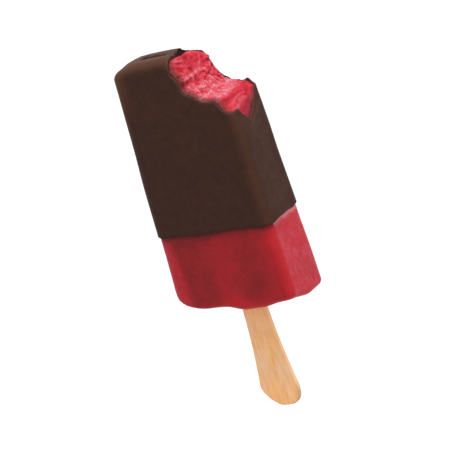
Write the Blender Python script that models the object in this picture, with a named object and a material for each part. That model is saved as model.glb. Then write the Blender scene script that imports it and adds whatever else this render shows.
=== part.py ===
"""A fruit ice pop, two thirds of it dipped in dark chocolate, with one bite out of a top corner.

The bar is a moulded block that narrows towards its tip. It stands on a flat wooden stick whose
free end flares into a paddle. Everything is first modelled upright in the mould's own frame:
X across the broad front, Y from the stick end (0) to the tip, Z towards the front.
An empty then lays the pop on its flat back, so that the front faces up and the tip points to +Y.
Units are metres.
"""

import math
from collections import namedtuple

import bmesh
import bpy
from mathutils import Vector, noise

MM = 0.001

# The moulded bar
BODY_LENGTH = 95.0 * MM
BASE_WIDTH = 51.4 * MM
BASE_DEPTH = 24.5 * MM
DRAFT = math.radians(1.7)  # each side leans in by this much towards the tip
LONG_EDGE_RADIUS = 4.0 * MM
TIP_CORNER_RADIUS = 5.8 * MM  # the tip's corners seen from the front
TIP_EDGE_RADIUS = 3.9 * MM  # the tip's edges seen from the side
TIP_LEFT_SAG = 0.45 * MM  # how far the tip falls away at its left corner
TIP_BACK_SAG = 0.8 * MM  # and at its back edge
BASE_EDGE_RADIUS = 2.4 * MM

# The chocolate coat
COAT_EDGE = 30.6 * MM  # where the dip ends, above the stick end
COAT_PROUD = 0.75 * MM  # how far it stands out from the bare fruit ice
COAT_THICKNESS = 1.1 * MM
COAT_TOP_THICKNESS = 1.6 * MM
COAT_LIP = 0.45 * MM  # rounding of its lower edge
COAT_LIP_EASE = 0.06 * MM  # keeps the uneven lip clear of what the pop lies on
COAT_FLAT_START = 34.0 * MM  # above this height the coat's faces are truly flat
GAP = 0.3 * MM  # between pieces that touch

# The frozen foot: it hangs lowest round the stick and along the back
FOOT_SAG = 1.0 * MM
FOOT_BACK_CORNER_SAG = 0.5 * MM
FOOT_FRONT_RISE = 1.8 * MM
FOOT_CORNER_RISE = 0.9 * MM
FOOT_LOWEST_X = 5.0 * MM
FOOT_RISE_WIDTH = 11.0 * MM
FOOT_FADE = 9.0 * MM
FOOT_ROUGHNESS = 0.3 * MM

# The wooden stick
STICK_LENGTH = 93.0 * MM
STICK_OUTSIDE = 44.5 * MM
STICK_THICKNESS = 2.0 * MM
STICK_NECK_WIDTH = 8.6 * MM
STICK_PADDLE_WIDTH = 15.8 * MM
STICK_OFF_CENTRE = 0.5 * MM
STICK_EDGE_BEVEL = 0.25 * MM

# The bite: a round mouthful about a point off the tip's right corner, deeper at the front
BITE_CENTRE = Vector((26.0 * MM, 97.0 * MM))
BITE_RADIUS = 22.0 * MM
BITE_LEAN = 0.12  # how fast its radius grows towards the front
BITE_CRAG = 0.45 * MM
BITE_CRAG_SIZE = 3.2 * MM
BITE_FIRST_ANGLE = 176  # the arc that crosses the bar, in degrees from +X
BITE_LAST_ANGLE = 282
BITE_FINE_STEP = 2.0
BITE_COARSE_STEP = 18.0
BITE_DEPTH_STEP = 1.1 * MM
BITE_OVERSHOOT = 3.0 * MM  # beyond the bar's front and back

# What each tooth left in the mouthful: where round the arc (degrees) and through the depth
# (towards the front), how far it reached in, and its spread both ways
ToothMark = namedtuple("ToothMark", "angle depth reach spread_angle spread_depth")
TOOTH_MARKS = (
    ToothMark(196.0, 10.0 * MM, 0.6 * MM, 6.0, 8.0 * MM),
    ToothMark(215.5, 10.0 * MM, 1.4 * MM, 6.0, 8.0 * MM),
    ToothMark(246.0, 9.0 * MM, -2.2 * MM, 7.5, 10.0 * MM),
    ToothMark(260.0, 10.0 * MM, 1.2 * MM, 6.0, 6.0 * MM),
    ToothMark(226.0, -10.0 * MM, 0.8 * MM, 6.0, 7.0 * MM),
    ToothMark(252.0, -9.0 * MM, -1.4 * MM, 5.5, 8.0 * MM),
    ToothMark(269.0, -7.0 * MM, -2.4 * MM, 6.0, 3.5 * MM),
    ToothMark(205.0, 0.0 * MM, 0.9 * MM, 10.0, 5.0 * MM),
    ToothMark(184.0, -9.5 * MM, 8.0 * MM, 4.5, 5.0 * MM),
)

# Where the last tooth tore the right side open: a sharp notch, steep to the front, sloping to the back
NOTCH_REACH = 8.2 * MM
NOTCH_DEPTH = 3.0 * MM  # its deepest place, towards the front
NOTCH_FRONT = 6.5 * MM
NOTCH_BACK = 10.5 * MM
NOTCH_FIRST_ANGLE = 255.0
NOTCH_FULL_ANGLE = 268.0

# The fold that the chocolate set in across the tip: a shallow groove with a pit at its left end
GROOVE_CENTRE_X = -2.5 * MM
GROOVE_CENTRE_Z = 4.2 * MM
GROOVE_SIZE = Vector((8.5 * MM, 0.6 * MM, 1.1 * MM))
PIT_CENTRE_X = -9.0 * MM
PIT_CENTRE_Z = 4.2 * MM
PIT_SIZE = Vector((1.8 * MM, 1.1 * MM, 0.8 * MM))

# How finely the round shapes are cut
WIDE_SEGMENTS = 12
DEEP_SEGMENTS = 6
CORNER_SEGMENTS = 5
ROUNDING_SEGMENTS = 5
CAP_SCALES = (0.72, 0.4)

FRUIT_ICE_COLOUR = (0.42, 0.022, 0.035, 1.0)
CHOCOLATE_COLOUR = (0.046, 0.023, 0.018, 1.0)
WOOD_COLOUR = (0.72, 0.41, 0.18, 1.0)


def clear_scene():
    for old in list(bpy.data.objects):
        bpy.data.objects.remove(old)


def make_material(name, colour, roughness):
    material = bpy.data.materials.new(name)
    material.use_nodes = True
    shader = material.node_tree.nodes["Principled BSDF"]
    shader.inputs["Base Color"].default_value = colour
    shader.inputs["Roughness"].default_value = roughness
    shader.inputs["Metallic"].default_value = 0.0
    return material


def smooth_step(value):
    value = min(1.0, max(0.0, value))
    return value * value * (3 - 2 * value)


def rounded_rectangle(half_x, half_z, radius):
    """(x, z) pairs round a rectangle with round corners, the same number whatever its size."""
    radius = min(radius, 0.95 * half_x, 0.95 * half_z)
    flat_x, flat_z = half_x - radius, half_z - radius
    corners = ((flat_x, flat_z), (-flat_x, flat_z), (-flat_x, -flat_z), (flat_x, -flat_z))
    points = []
    for number, (x, z) in enumerate(corners):
        start = number * math.pi / 2
        for step in range(CORNER_SEGMENTS + 1):
            angle = start + step / CORNER_SEGMENTS * math.pi / 2
            points.append((x + radius * math.cos(angle), z + radius * math.sin(angle)))
        next_x, next_z = corners[(number + 1) % 4]
        end = start + math.pi / 2
        leaving = (x + radius * math.cos(end), z + radius * math.sin(end))
        arriving = (next_x + radius * math.cos(end), next_z + radius * math.sin(end))
        segments = WIDE_SEGMENTS if number % 2 == 0 else DEEP_SEGMENTS
        for step in range(1, segments):
            share = step / segments
            points.append(
                (
                    leaving[0] + share * (arriving[0] - leaving[0]),
                    leaving[1] + share * (arriving[1] - leaving[1]),
                )
            )
    return points


def half_sizes(y):
    """Half the bare bar's width and depth at this height, by its draft alone."""
    narrowing = y * math.tan(DRAFT)
    return BASE_WIDTH / 2 - narrowing, BASE_DEPTH / 2 - narrowing


def foot_height(x, z):
    """The frozen foot sags all over, and along its front it rises on both sides of the stick."""
    half_x, half_z = half_sizes(0)
    front = smooth_step((z + 0.2 * half_z) / (1.1 * half_z))
    rise = FOOT_FRONT_RISE * smooth_step(abs(x - FOOT_LOWEST_X) / FOOT_RISE_WIDTH)
    rise += FOOT_CORNER_RISE * smooth_step(-x / half_x)
    sag = FOOT_SAG + FOOT_BACK_CORNER_SAG * (1 - front) * smooth_step(x / half_x)
    rough = noise.noise(Vector((x, 0, z)) / (5.0 * MM))
    return front * rise - sag + FOOT_ROUGHNESS * rough


def tip_sag(x, z):
    """How far the tip falls away towards its left corner and its back edge."""
    half_x, half_z = half_sizes(BODY_LENGTH)
    left = smooth_step((-x / half_x - 0.45) / 0.55)
    back = smooth_step((-z / half_z - 0.2) / 0.8)
    return TIP_LEFT_SAG * left + TIP_BACK_SAG * back


def coat_edge(x, z):
    """The coat's lower edge: a level dip line that climbs on the two narrow sides."""
    half_x, half_z = half_sizes(COAT_EDGE)
    climb = 1.3 * MM if x > 0 else 0.6 * MM
    ripple = 0.12 * MM * math.sin(x / (3.1 * MM)) + 0.1 * MM * math.sin(z / (2.3 * MM) + 1.0)
    return COAT_EDGE + climb * min(1.0, abs(x) / half_x) ** 8 + ripple


def section(y, grow, height_of=None, inset=(0.0, 0.0), scale=1.0):
    """One ring round the bar at height y, grown outwards from the bare bar, as points in space."""
    half_x, half_z = half_sizes(y)
    ring = rounded_rectangle(
        (half_x + grow - inset[0]) * scale,
        (half_z + grow - inset[1]) * scale,
        (LONG_EDGE_RADIUS + grow) * scale,
    )
    return [Vector((x, y if height_of is None else height_of(x, z), z)) for x, z in ring]


def foot_rings():
    """From the middle of the foot outwards and up round its edge."""
    rings = []
    insets = (BASE_EDGE_RADIUS, BASE_EDGE_RADIUS)
    for scale in reversed(CAP_SCALES):
        rings.append(section(0, 0.0, foot_height, insets, scale))
    for step in range(ROUNDING_SEGMENTS + 1):
        angle = step / ROUNDING_SEGMENTS * math.pi / 2
        inset = BASE_EDGE_RADIUS * (1 - math.sin(angle))
        rise = BASE_EDGE_RADIUS * (1 - math.cos(angle))
        rings.append(section(rise, 0.0, lambda x, z, rise=rise: rise + foot_height(x, z), (inset, inset)))
    for height in (0.5 * FOOT_FADE, FOOT_FADE):
        share = 1 - smooth_step(height / FOOT_FADE)
        rings.append(
            section(height, 0.0, lambda x, z, y=height, s=share: y + s * foot_height(x, z))
        )
    return rings


def tip_rings(grow, top):
    """Up from the straight sides, round the tip's edges and in across its flat end."""
    corner_radius = TIP_CORNER_RADIUS + grow
    edge_radius = TIP_EDGE_RADIUS + grow
    rings = []
    start = top - corner_radius
    for step in range(ROUNDING_SEGMENTS + 2):
        y = start + corner_radius * math.sin(step / (ROUNDING_SEGMENTS + 1) * math.pi / 2)
        over_corner = max(0.0, y - (top - corner_radius))
        over_edge = max(0.0, y - (top - edge_radius))
        inset_x = corner_radius - math.sqrt(max(0.0, corner_radius**2 - over_corner**2))
        inset_z = edge_radius - math.sqrt(max(0.0, edge_radius**2 - over_edge**2))
        share = over_corner / corner_radius
        sagging = lambda x, z, y=y, share=share: y - share * tip_sag(x, z)
        rings.append(section(y, grow, sagging, (inset_x, inset_z)))
    for scale in CAP_SCALES:
        sagging = lambda x, z: top - tip_sag(x, z)
        rings.append(section(top, grow, sagging, (corner_radius, edge_radius), scale))
    return rings


def loft(name, rings, material):
    """A closed object whose skin runs through the rings, with a fan over each end."""
    mesh = bmesh.new()
    loops = [[mesh.verts.new(point) for point in ring] for ring in rings]
    for lower, upper in zip(loops, loops[1:]):
        for here in range(len(lower)):
            after = (here + 1) % len(lower)
            mesh.faces.new((lower[here], lower[after], upper[after], upper[here]))
    for loop in (loops[0], loops[-1]):
        middle = mesh.verts.new(sum((vert.co for vert in loop), Vector()) / len(loop))
        for here in range(len(loop)):
            mesh.faces.new((loop[here], loop[(here + 1) % len(loop)], middle))
    bmesh.ops.recalc_face_normals(mesh, faces=mesh.faces)
    return object_from(mesh, name, material)


def object_from(mesh, name, material=None):
    data = bpy.data.meshes.new(name)
    mesh.to_mesh(data)
    mesh.free()
    data.shade_smooth()
    data.set_sharp_from_angle(angle=math.radians(40))
    made = bpy.data.objects.new(name, data)
    bpy.context.scene.collection.objects.link(made)
    if material:
        data.materials.append(material)
    return made


def as_cutter(cutter):
    cutter.hide_render = True
    cutter.display_type = "WIRE"
    return cutter


def cut(target, cutter):
    modifier = target.modifiers.new("cut_" + cutter.name, "BOOLEAN")
    modifier.operation = "DIFFERENCE"
    modifier.solver = "EXACT"
    modifier.object = cutter


def notch_reach(angle, z):
    """The extra reach of the notch in the right side."""
    slope = NOTCH_FRONT if z > NOTCH_DEPTH else NOTCH_BACK
    peak = max(0.0, 1 - abs(z - NOTCH_DEPTH) / slope)
    across = (angle - NOTCH_FIRST_ANGLE) / (NOTCH_FULL_ANGLE - NOTCH_FIRST_ANGLE)
    return NOTCH_REACH * peak * smooth_step(across)


def bite_reach(angle, z):
    """How far the bite reaches from its centre, at an angle in degrees and a depth in the bar."""
    reach = BITE_RADIUS + BITE_LEAN * z + notch_reach(angle, z)
    for mark in TOOTH_MARKS:
        across = (angle - mark.angle) / mark.spread_angle
        through = (z - mark.depth) / mark.spread_depth
        reach += mark.reach * math.exp(-(across**2) - through**2)
    round_arc = math.radians(angle) * BITE_RADIUS
    crag = noise.fractal(Vector((round_arc, z, 0)) / BITE_CRAG_SIZE, 1.0, 2.0, 3)
    return reach + BITE_CRAG * crag


def bite_angles():
    """Fine steps where the bite crosses the bar, coarse ones round the rest of the circle."""
    fine_steps = round((BITE_LAST_ANGLE - BITE_FIRST_ANGLE) / BITE_FINE_STEP)
    fine = [BITE_FIRST_ANGLE + BITE_FINE_STEP * step for step in range(fine_steps + 1)]
    rest = 360 - (BITE_LAST_ANGLE - BITE_FIRST_ANGLE)
    coarse_steps = round(rest / BITE_COARSE_STEP)
    return fine + [BITE_LAST_ANGLE + rest * step / coarse_steps for step in range(1, coarse_steps)]


def make_bite_cutter():
    far = BASE_DEPTH / 2 + COAT_PROUD + BITE_OVERSHOOT
    steps = round(2 * far / BITE_DEPTH_STEP)
    rings = []
    for step in range(steps + 1):
        z = -far + 2 * far * step / steps
        ring = []
        for angle in bite_angles():
            reach = bite_reach(angle, z)
            turn = math.radians(angle)
            ring.append(
                Vector(
                    (
                        BITE_CENTRE.x + reach * math.cos(turn),
                        BITE_CENTRE.y + reach * math.sin(turn),
                        z,
                    )
                )
            )
        rings.append(ring)
    return as_cutter(loft("bite_cutter", rings, None))


def make_dent_cutter(name, x, z, size):
    """A flattened ball centred on the coat's top surface."""
    mesh = bmesh.new()
    bmesh.ops.create_uvsphere(mesh, u_segments=24, v_segments=12, radius=1.0)
    bmesh.ops.scale(mesh, vec=size, verts=mesh.verts)
    bmesh.ops.translate(mesh, vec=Vector((x, BODY_LENGTH + COAT_PROUD, z)), verts=mesh.verts)
    return as_cutter(object_from(mesh, name))


def stick_half_width(y):
    """A parallel neck inside the bar, then a straight flare out to the paddle."""
    flare_start = 3.0 * MM
    flare_end = -STICK_OUTSIDE + STICK_PADDLE_WIDTH / 2
    share = min(1.0, max(0.0, (flare_start - y) / (flare_start - flare_end)))
    eased = share - 0.12 * math.sin(2 * math.pi * share) / (2 * math.pi)
    return (STICK_NECK_WIDTH + (STICK_PADDLE_WIDTH - STICK_NECK_WIDTH) * eased) / 2


def stick_outline(grow, foot):
    """The stick seen from the front, grown outwards, its free end a half circle or cut off at foot."""
    inner_end = STICK_LENGTH - STICK_OUTSIDE
    neck_round = STICK_NECK_WIDTH / 2
    right = []
    for step in range(9):
        angle = math.pi / 2 * (1 - step / 8)
        right.append(
            (
                (neck_round + grow) * math.cos(angle),
                inner_end - neck_round + (neck_round + grow) * math.sin(angle),
            )
        )
    straight_end = -STICK_OUTSIDE + STICK_PADDLE_WIDTH / 2 if foot is None else foot
    for step in range(13):
        y = 3.0 * MM + (straight_end - 3.0 * MM) * step / 12
        right.append((stick_half_width(y) + grow, y))
    if foot is None:
        for step in range(1, 13):
            angle = -math.pi / 2 * step / 12
            radius = STICK_PADDLE_WIDTH / 2
            right.append((radius * math.cos(angle), straight_end + radius * math.sin(angle)))
    left = [(-x, y) for x, y in reversed(right) if x > 1e-6]
    return right + left


def make_stick_shape(name, grow, foot, material):
    """The stick's outline drawn out to its thickness."""
    half = STICK_THICKNESS / 2 + grow
    mesh = bmesh.new()
    outline = [
        mesh.verts.new((x + STICK_OFF_CENTRE, y, -half)) for x, y in stick_outline(grow, foot)
    ]
    face = mesh.faces.new(outline)
    drawn = bmesh.ops.extrude_face_region(mesh, geom=[face])
    moved = [part for part in drawn["geom"] if isinstance(part, bmesh.types.BMVert)]
    bmesh.ops.translate(mesh, vec=Vector((0, 0, 2 * half)), verts=moved)
    bmesh.ops.recalc_face_normals(mesh, faces=mesh.faces)
    return object_from(mesh, name, material)


def make_wooden_stick(material):
    stick = make_stick_shape("wooden_stick", 0.0, None, material)
    bevel = stick.modifiers.new("eased_edges", "BEVEL")
    bevel.width = STICK_EDGE_BEVEL
    bevel.segments = 2
    bevel.limit_method = "ANGLE"
    bevel.angle_limit = math.radians(60)
    return stick


def make_fruit_ice(material):
    """The moulded bar: bare below the coat, a little slimmer inside it."""
    hidden = COAT_PROUD - COAT_THICKNESS - GAP
    top = BODY_LENGTH + COAT_PROUD - COAT_TOP_THICKNESS - GAP
    rings = foot_rings()
    rings.append(section(COAT_EDGE, 0.0, lambda x, z: coat_edge(x, z) - 2 * GAP))
    rings.append(section(COAT_EDGE, hidden, lambda x, z: coat_edge(x, z) - GAP))
    rings += tip_rings(hidden, top)
    return loft("fruit_ice", rings, material)


def make_chocolate_coat(material):
    """A cup over the bar's upper part, its skin running from the inside of the tip round the lip."""
    inner = COAT_PROUD - COAT_THICKNESS
    inside_top = BODY_LENGTH + COAT_PROUD - COAT_TOP_THICKNESS
    rings = list(reversed(tip_rings(inner, inside_top)))
    rings.append(section(COAT_EDGE, inner, lambda x, z: coat_edge(x, z) + COAT_LIP))
    rings.append(section(COAT_EDGE, inner + COAT_LIP / 2, coat_edge))
    rings.append(section(COAT_EDGE, COAT_PROUD - COAT_LIP / 2, coat_edge))
    eased = COAT_PROUD - COAT_LIP_EASE
    rings.append(section(COAT_EDGE, eased, lambda x, z: coat_edge(x, z) + COAT_LIP))
    rings.append(section(COAT_FLAT_START, COAT_PROUD))
    rings += tip_rings(COAT_PROUD, BODY_LENGTH + COAT_PROUD)
    return loft("chocolate_coat", rings, material)


def lay_down(objects):
    """Turns the upright pop by its draft onto the flat back of its coat, centred over the origin."""
    pop = bpy.data.objects.new("pop_laid_down", None)
    bpy.context.scene.collection.objects.link(pop)
    pop.rotation_euler = (-DRAFT, 0, 0)
    for piece in objects:
        piece.parent = pop
    top = BODY_LENGTH + COAT_PROUD
    flat_half_z = half_sizes(top)[1] - TIP_EDGE_RADIUS
    tip = top * math.cos(DRAFT) + flat_half_z * math.sin(DRAFT)
    paddle = STICK_OUTSIDE * math.cos(DRAFT) + STICK_THICKNESS / 2 * math.sin(DRAFT)
    back = (BASE_DEPTH / 2 + COAT_PROUD) * math.cos(DRAFT)
    pop.location = (0, (paddle - tip) / 2, back)


def main():
    clear_scene()
    fruit_ice = make_fruit_ice(make_material("fruit_ice", FRUIT_ICE_COLOUR, 0.35))
    coat = make_chocolate_coat(make_material("dark_chocolate", CHOCOLATE_COLOUR, 0.5))
    stick = make_wooden_stick(make_material("birch_wood", WOOD_COLOUR, 0.6))

    bite = make_bite_cutter()
    slot = as_cutter(make_stick_shape("stick_slot", GAP, -6.0 * MM, None))
    groove = make_dent_cutter("tip_groove", GROOVE_CENTRE_X, GROOVE_CENTRE_Z, GROOVE_SIZE)
    pit = make_dent_cutter("tip_pit", PIT_CENTRE_X, PIT_CENTRE_Z, PIT_SIZE)
    cut(fruit_ice, bite)
    cut(fruit_ice, slot)
    cut(coat, bite)
    cut(coat, groove)
    cut(coat, pit)
    lay_down([fruit_ice, coat, stick, bite, slot, groove, pit])


main()
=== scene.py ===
"""The looks of a fruit ice pop, two thirds of it dipped in dark chocolate, bitten at a top corner.

Every shape is worked out in the mould's own frame, in millimetres: X across the broad front, Y from
the stick end (0) to the tip, Z towards the front. LAID_DOWN takes that frame to the frame of the part,
where the pop lies on its back. A solid is a field, an array of numbers that are negative inside it,
and its skin is meshed on a grid that is fine where the eye is drawn and coarse where nothing shows.
"""

import math
from collections import namedtuple

import bpy
import numpy as np
from mathutils import Matrix, Vector, noise


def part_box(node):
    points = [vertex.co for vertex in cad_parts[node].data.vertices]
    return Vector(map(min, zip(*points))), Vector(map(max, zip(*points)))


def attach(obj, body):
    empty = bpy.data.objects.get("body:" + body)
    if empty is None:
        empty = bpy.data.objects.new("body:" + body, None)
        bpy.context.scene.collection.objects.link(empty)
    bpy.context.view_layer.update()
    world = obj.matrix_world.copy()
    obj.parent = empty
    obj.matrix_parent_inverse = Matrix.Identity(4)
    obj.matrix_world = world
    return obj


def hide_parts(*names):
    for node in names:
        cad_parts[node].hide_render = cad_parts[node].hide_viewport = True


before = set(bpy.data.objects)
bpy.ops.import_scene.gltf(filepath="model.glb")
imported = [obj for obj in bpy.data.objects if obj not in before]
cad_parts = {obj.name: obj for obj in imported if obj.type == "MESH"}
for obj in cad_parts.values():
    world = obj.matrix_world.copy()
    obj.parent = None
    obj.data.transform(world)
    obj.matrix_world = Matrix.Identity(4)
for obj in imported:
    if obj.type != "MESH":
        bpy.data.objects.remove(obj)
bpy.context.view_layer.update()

# The moulded bar, in mm
BODY_LENGTH = 95.0
BASE_WIDTH = 51.4
BASE_DEPTH = 24.5
DRAFT = math.radians(1.7)
LONG_EDGE_RADIUS = 4.0
TIP_CORNER_RADIUS = 5.8
TIP_BACK_CORNER_RADIUS = 4.4
TIP_EDGE_RADIUS = 3.9
LEAN = 0.3  # how far the dipped part leans to the right
LEAN_Y = (50.0, 64.0)  # where the lean starts and where it is whole
BASE_EDGE_RADIUS = 2.4
BASE_LEFT_CORNER_RADIUS = 11.5
RIGHT_SWELLING, RIGHT_SWELLING_X, RIGHT_SWELLING_Z = 0.35, (16.0, 22.0), (3.0, -9.0)
LEFT_SWELLING, LEFT_SWELLING_X, LEFT_SWELLING_Y = 0.25, (-18.0, -24.0), (3.0, 11.0)
ICE_UNEVENNESS = 0.16
ICE_UNEVENNESS_SIZE = 7.0

# How far the tip has sunk. Here and below, a pair says where something starts and where it is whole,
# as places in mm or, where the name says share, as shares of the half width or half depth.
TIP_LEFT_SAG = 0.9
TIP_BACK_LEFT_SAG = -0.1
TIP_BACK_SAG = 0.8
TIP_LEFT_SHARE = (-0.4, -1.0)
TIP_BACK_SHARE = (-0.2, -1.0)
TIP_FRONT_Z = (1.0, 8.0)
TIP_SAG_Y = (85.0, 95.0)
TIP_BACK_CORNER_Z = (0.0, -6.0)

# The chocolate coat
COAT_EDGE = 30.5
COAT_EDGE_SLANT = 0.014
COAT_EDGE_LEFT_CLIMB, COAT_EDGE_RIGHT_CLIMB = 1.6, 0.5
COAT_EDGE_LEFT_SHARE, COAT_EDGE_RIGHT_SHARE = (0.625, -0.375), (1.0, -0.6)
COAT_EDGE_TURN, COAT_EDGE_BACK_TURN = 2.5, 9.0  # how far round the long edge the climb starts
EDGE_BULGE, EDGE_BULGE_Z = 0.5, (0.0, 6.0)
EDGE_BULGE_LEFT_X, EDGE_BULGE_RIGHT_X = (2.0, 10.0), (21.0, 15.0)
COAT_EDGE_RIPPLES = ((0.13, 3.1), (0.12, 2.3), (0.09, 1.1))  # height and length
COAT_PROUD = 0.75
COAT_THICKNESS = 1.1
COAT_TOP_THICKNESS = 1.4
COAT_BROKEN_THICKNESS = 0.5  # where it snapped off along the bite
COAT_THINNING = 2.5
COAT_BROKEN_FRONT_Z, COAT_BROKEN_BACK_Z = (4.0, 6.0), (-2.5, -4.5)
COAT_LIP = 0.4
COAT_UNEVENNESS = 0.12
COAT_UNEVENNESS_SIZE = 9.0
COAT_OVERLAP = 0.05  # how far the ice reaches into the coat, as the two are frozen together
# The painted highlight along the coat's broken rim, and where its cut face is stained red
PALE_RIM_WIDTH, PALE_RIM_Z, PALE_RIM_RIGHT = 0.7, (2.0, 6.0), 0.8
STAINED_RIM_X, STAINED_RIM_Z = (18.0, 21.0), (6.0, 3.0)

# The frozen foot
FOOT_SAG = 1.0
FOOT_BACK_CORNER_SAG = 0.5
FOOT_FRONT_LIFT = 0.4
FOOT_FRONT_RISE = 1.45
FOOT_LOWEST_X = 8.0
FOOT_LOWEST_HALF_WIDTH = 3.5
FOOT_RISE_WIDTH = 9.0
FOOT_FRONT_SHARE = (-0.2, 0.9)
FOOT_LEFT_CORNER_RISE, FOOT_LEFT_CORNER_X = 1.65, (-12.0, -24.0)
FOOT_RIGHT_CORNER_RISE, FOOT_RIGHT_CORNER_X = 0.4, (19.0, 24.0)
FOOT_FADE = 9.0
FOOT_UNEVENNESS = 0.25
FOOT_UNEVENNESS_SIZE = 5.0

# The stick
STICK_LENGTH = 93.0
STICK_OUTSIDE = 44.5
STICK_THICKNESS = 2.0
STICK_NECK_WIDTH = 10.2
STICK_PADDLE_WIDTH = 16.5
STICK_MIDDLE = 0.1
STICK_EDGE_RADIUS = 0.35
STICK_ROUNDING = (1.6, 3.3)  # a lopsided end: 2 is a circle, less is pointed, more is square
FLARE_START = 3.0

# The stick's colours: its cut edge, the rim of its end, a painted reflection of the red ice by its exit,
# and where the wood is warmer
CUT_EDGE_WIDTH, STICK_RIM_Y = 0.8, (-35.0, -40.0)
ICE_REFLECTION_Y, ICE_REFLECTION_LENGTH = -1.5, 1.2
WARM_EXIT, WARM_EXIT_Y, WARM_EXIT_X = 0.8, (-20.0, -4.0), (-2.0, 2.0)
WARM_END, WARM_END_Y = 0.15, (-30.0, -38.0)

# The bite
BITE_CENTRE_X = 26.0
BITE_CENTRE_Y = 97.0
BITE_RADIUS = 22.0
BITE_LEAN = 0.12
BITE_CRAG = 0.45
BITE_CRAG_SIZE = 3.2
COAT_RIM, COAT_INNER_RIM, ICE_RIM = 0.25, 0.05, 0.12  # how far each broken rim is rounded
WANDER_SIZE = 2.5  # of the wavy borders between the areas of the bitten face
# Unevenness in layers, each with its height, size and seed
COAT_BROKEN_LUMPS = ((0.33, 1.4, 31), (0.3, 4.0, 37))
HOLLOW_LUMPS = ((0.5, 1.3, 43), (0.5, 3.0, 47))
Mark = namedtuple("Mark", "angle depth amount spread_angle spread_depth")
TOOTH_MARKS = (
    Mark(196.0, 10.0, 0.7, 6.0, 8.0),
    Mark(215.5, 10.0, 1.4, 6.0, 8.0),
    Mark(246.0, 9.0, -2.2, 7.5, 10.0),
    Mark(260.5, 10.0, 1.7, 6.5, 6.0),
    Mark(226.0, -10.0, 0.8, 6.0, 7.0),
    Mark(252.0, -9.0, -1.4, 5.5, 8.0),
    Mark(269.0, -7.0, -2.4, 6.0, 3.5),
    Mark(205.0, 0.0, 0.9, 10.0, 5.0),
    Mark(205.0, -9.5, -0.7, 9.0, 4.0),
    Mark(240.5, -11.0, -1.0, 5.0, 3.5),
    Mark(184.0, -9.5, 8.0, 4.5, 5.0),
)
# How much further the bite reaches at the notch on the right, through (depth, reach) pairs
NOTCH_LINE = (
    (-7.2, 0.0),
    (-5.4, 2.4),
    (-3.5, 3.8),
    (0.0, 5.9),
    (2.1, 7.4),
    (3.5, 5.6),
    (6.5, 1.8),
    (8.4, 0.0),
)
NOTCH_ANGLE = (255.0, 268.0)
# Where the notch's wall is painted in shade
NOTCH_WALL_ANGLE, NOTCH_DEEP_ANGLE = (260.8, 262.3), (263.3, 265.3)
NOTCH_WALL_FRONT, NOTCH_WALL_BACK = (4.6, 3.6), (-6.5, -4.0)

# Only the coat does this: at the back it stands up past the ice in one place and sinks in another
COAT_MARKS = (
    Mark(255.0, -11.5, -1.1, 9.0, 3.5),
    Mark(235.0, -11.0, 0.3, 6.0, 2.5),
    Mark(220.0, -11.0, 0.5, 4.0, 2.5),
    Mark(207.0, -11.0, -0.1, 12.0, 2.0),
)

# What shows on the bitten face. Each line runs through (angle round the bite, depth) pairs, and
# rise is how far it stands out of the face, negative for a crack.
BiteLine = namedtuple("BiteLine", "rise width points")
BITE_LINES = (
    BiteLine(
        0.55,
        0.6,
        ((201.9, -4.5), (205.5, -3.2), (207.6, -0.8), (207.3, 2.0), (208.8, 5.0), (208.0, 8.0)),
    ),
    BiteLine(0.4, 0.5, ((193.0, 7.0), (196.5, 3.6), (199.0, 1.2))),
    BiteLine(0.35, 0.45, ((201.5, 8.0), (203.0, 4.5), (202.0, 1.0))),
    BiteLine(0.55, 0.4, ((258.0, -3.5), (257.0, -2.0), (256.8, 2.0), (257.6, 5.0), (257.0, 6.5))),
    BiteLine(
        0.65,
        0.4,
        ((261.2, -3.0), (259.6, -1.5), (259.4, 1.0), (260.6, 3.0), (261.4, 5.0), (261.0, 7.0)),
    ),
    BiteLine(0.4, 0.4, ((245.5, 3.0), (247.0, -2.0), (250.0, -6.0))),
    BiteLine(-0.75, 0.45, ((210.5, -9.0), (214.0, -6.4), (216.2, -3.4), (217.4, -1.4))),
    BiteLine(-0.2, 0.8, ((210.6, -2.0), (211.6, 1.0), (210.8, 4.2))),
    BiteLine(-0.3, 0.75, ((251.5, 6.0), (253.0, 2.0), (255.5, -2.0), (258.5, -4.0))),
    BiteLine(0.35, 0.4, ((190.0, 6.0), (192.5, 2.5), (197.0, 2.0))),
    BiteLine(0.35, 0.4, ((195.0, -6.5), (199.0, -5.6), (202.5, -4.2))),
)
# Broad patches of the bitten face that are paler, or with a negative amount a deeper red
BITE_TONES = (
    Mark(188.5, 0.0, 0.10, 2.0, 12.0),
    Mark(193.0, -2.0, -0.2, 6.0, 7.0),
    Mark(202.5, -0.5, -0.16, 4.0, 3.5),
    Mark(205.5, 3.0, 0.12, 2.5, 5.0),
    Mark(198.0, 6.5, -0.12, 6.0, 3.0),
    Mark(214.0, -4.0, -0.08, 4.0, 6.0),
    Mark(221.5, 2.0, 0.12, 6.0, 7.0),
    Mark(234.5, -3.0, -0.12, 2.0, 2.0),
    Mark(253.0, 5.5, -0.2, 3.5, 5.0),
    Mark(258.0, 0.0, 0.02, 2.0, 7.0),
    Mark(256.5, -5.0, -0.06, 3.0, 3.0),
    Mark(242.0, -6.0, -0.2, 5.0, 5.0),
    Mark(238.0, 3.0, -0.06, 6.0, 6.0),
    Mark(249.0, -10.5, -0.25, 5.0, 3.0),
)
BitePit = namedtuple("BitePit", "angle depth sink radius")
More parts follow.
